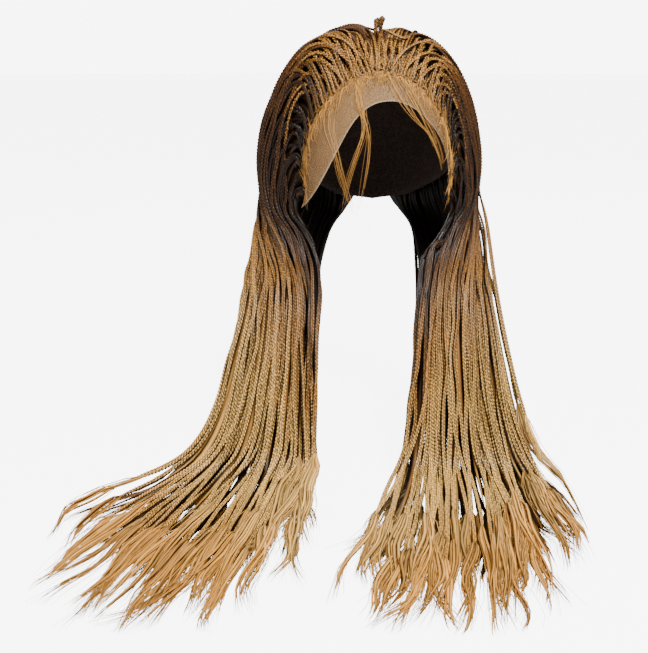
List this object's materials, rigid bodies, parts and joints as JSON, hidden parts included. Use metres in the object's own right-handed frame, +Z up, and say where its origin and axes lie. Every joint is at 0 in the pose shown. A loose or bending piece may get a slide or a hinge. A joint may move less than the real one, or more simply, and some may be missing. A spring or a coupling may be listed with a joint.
{
  "type": "lace front braid wig",
  "caption": "Long plaited wig on a close cap with a sheer lace front: both bundles hang forward over the shoulders and fan out into loose ends.",
  "frame": {"origin": "top of the inner crown of the cap, where it sits on a head", "axes": "+Z up, -Y towards the face side, +X towards the right side of the picture"},
  "size_m": [0.4529, 0.5041, 0.4384],
  "materials": {
    "cap_net": "dark elastic net",
    "lace": "sheer lace net",
    "hair_front": "braided hair fibre, honey brown turning golden blonde",
    "hair_rear": "braided hair fibre, darker under layer"
  },
  "bodies": {
    "root": {"cap": "cap_net", "lace_front": "lace", "left_front_braids": "hair_front", "left_rear_braids": "hair_rear", "right_front_braids": "hair_front", "right_rear_braids": "hair_rear", "stray_braid_right": "hair_front", "crown_loop_left": "hair_front", "crown_loop_right": "hair_front"}
  },
  "joints": []
}
